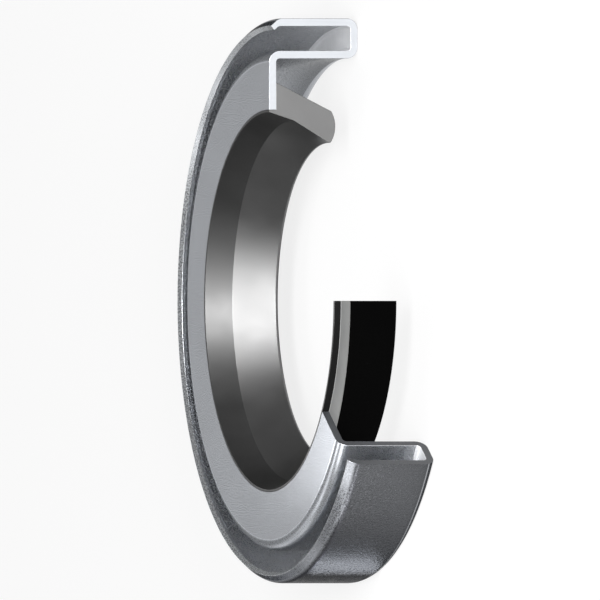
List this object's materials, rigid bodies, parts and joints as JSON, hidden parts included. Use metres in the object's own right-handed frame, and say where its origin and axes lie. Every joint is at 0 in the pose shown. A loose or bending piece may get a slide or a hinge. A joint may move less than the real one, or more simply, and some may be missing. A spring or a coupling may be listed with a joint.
{
  "type": "radial shaft seal",
  "caption": "Cutaway of a metal-cased radial shaft seal: a pressed steel ring folded double, with a plain rubber lip bonded behind its inward flange.",
  "frame": {"origin": "shaft axis at the rear face of the case, on which the seal lies", "axes": "+Z along the shaft axis towards the flanged front face, +Y to twelve o'clock on the flange, where both cuts start"},
  "size_m": [0.0545, 0.06, 0.01],
  "materials": {
    "steel": "bright cold-rolled sheet steel with a fine satin grain",
    "rubber": "moulded black nitrile rubber, smooth and half glossy, matt grey where it is cut"
  },
  "bodies": {
    "root": {"case": "steel", "lip": "rubber"}
  },
  "joints": []
}
